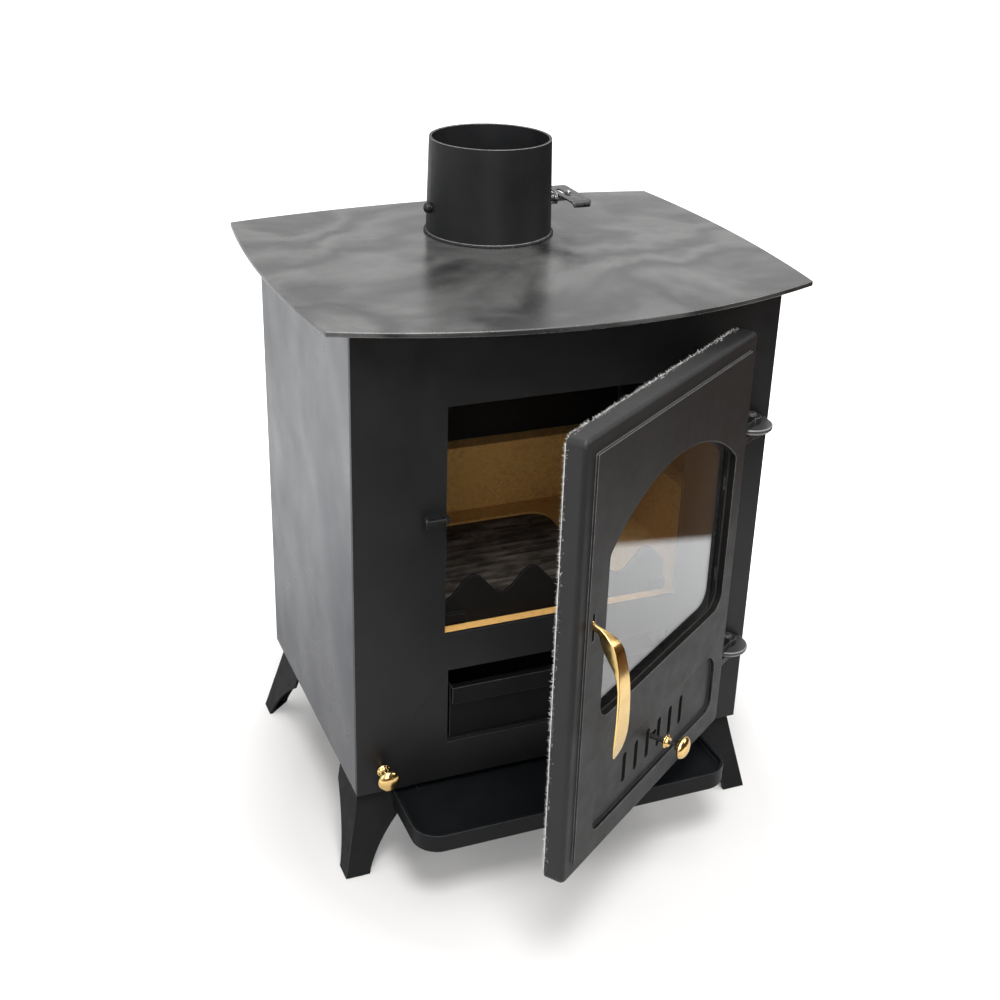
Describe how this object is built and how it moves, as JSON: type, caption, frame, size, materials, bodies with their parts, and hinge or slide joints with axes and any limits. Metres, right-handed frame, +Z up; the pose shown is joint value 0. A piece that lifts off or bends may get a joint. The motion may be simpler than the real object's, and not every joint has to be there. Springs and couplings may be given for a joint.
{
  "type": "wood stove",
  "caption": "Box-bodied steel wood stove on splayed legs with a cast door standing open, arched glass, brass latch handle, flue collar with damper, ash pan and hearth tray.",
  "frame": {"origin": "bottom centre of everything the stove takes up at rest, with the door standing open as in the picture; floor level", "axes": "+X to the right seen from the front, +Y to the back, +Z up along the flue"},
  "size_m": [0.584, 0.7132, 0.795],
  "materials": {
    "painted_steel": "satin black high-temperature paint",
    "top_steel": "grey satin paint, lightly scuffed",
    "cast_iron": "matt dark grey cast iron",
    "grate_iron": "dusty brown-grey cast iron",
    "bright_steel": "bare bright steel",
    "inner_steel": "sooty black steel",
    "pan_steel": "dull grey sheet steel",
    "brass": "polished",
    "vermiculite": "granular amber vermiculite board",
    "rope": "white fibre rope",
    "gasket": "dark woven tape",
    "glass": "clear ceramic glass"
  },
  "bodies": {
    "stove_body": {"front_panel": "painted_steel", "left_side_panel": "painted_steel", "right_side_panel": "painted_steel", "back_panel": "painted_steel", "base_plate": "painted_steel", "top_plate": "top_steel", "flue_collar": "painted_steel", "leg_front_left": "cast_iron", "leg_front_right": "cast_iron", "leg_rear_left": "cast_iron", "leg_rear_right": "cast_iron", "hearth_tray": "painted_steel", "ash_floor": "inner_steel", "ash_runner_left": "inner_steel", "ash_runner_right": "inner_steel", "grate_shelf": "inner_steel", "grate": "grate_iron", "lining_bed": "vermiculite", "lining_front": "vermiculite", "lining_left": "vermiculite", "lining_right": "vermiculite", "lining_rear_lower": "vermiculite", "lining_rear_upper": "vermiculite", "log_guard": "inner_steel", "baffle_plate": "inner_steel", "baffle_ledge_left": "inner_steel", "baffle_ledge_right": "inner_steel", "primary_air_rosette": "brass", "hinge_tab_upper": "cast_iron", "hinge_tab_lower": "cast_iron", "hinge_pin_upper": "cast_iron", "hinge_pin_lower": "cast_iron", "latch_keeper": "painted_steel"},
    "ash_pan": {"ash_pan": "pan_steel"},
    "primary_air": {"primary_air_knob": "brass", "primary_air_rod": "bright_steel", "primary_air_shutter": "inner_steel"},
    "damper": {"damper_disc": "cast_iron", "damper_spindle": "bright_steel", "damper_cap": "painted_steel", "damper_spring": "painted_steel", "damper_wing": "bright_steel"},
    "door": {"door_casting": "cast_iron", "door_rope_seal": "rope", "glass_gasket": "gasket", "door_glass": "glass", "glass_clip_left_lower": "bright_steel", "glass_clip_left_upper": "bright_steel", "glass_clip_right_lower": "bright_steel", "glass_clip_right_upper": "bright_steel", "air_guide_lower": "bright_steel", "air_guide_upper": "bright_steel", "door_handle_pin": "bright_steel"},
    "door_handle": {"door_handle": "brass"},
    "door_air": {"air_slider": "inner_steel", "air_slider_stem": "painted_steel", "air_slider_rosette": "brass", "air_slider_knob": "brass"}
  },
  "joints": [
    {"name": "door_hinge", "type": "hinge", "parent": "stove_body", "child": "door", "pos_m": [0.22, -0.08224, 0.4], "axis": [0, 0, 1], "range_deg": [-35.25, 75]},
    {"name": "door_handle_lift", "type": "hinge", "parent": "door", "child": "door_handle", "pos_m": [-0.08972, -0.30847, 0.445], "axis": [-0.8166, -0.5771, 0], "range_deg": [0, 30]},
    {"name": "door_air_slide", "type": "slide", "parent": "door", "child": "door_air", "axis": [0.8166, 0.5771, 0], "range_m": [0, 0.0086]},
    {"name": "primary_air_pull", "type": "slide", "parent": "stove_body", "child": "primary_air", "axis": [0, -1, 0], "range_m": [0, 0.03]},
    {"name": "ash_pan_slide", "type": "slide", "parent": "stove_body", "child": "ash_pan", "axis": [0, -1, 0], "range_m": [0, 0.045]},
    {"name": "damper_turn", "type": "hinge", "parent": "stove_body", "child": "damper", "pos_m": [0.007, 0.20476, 0.7158], "axis": [1, 0, 0], "range_deg": [0, 38]}
  ]
}
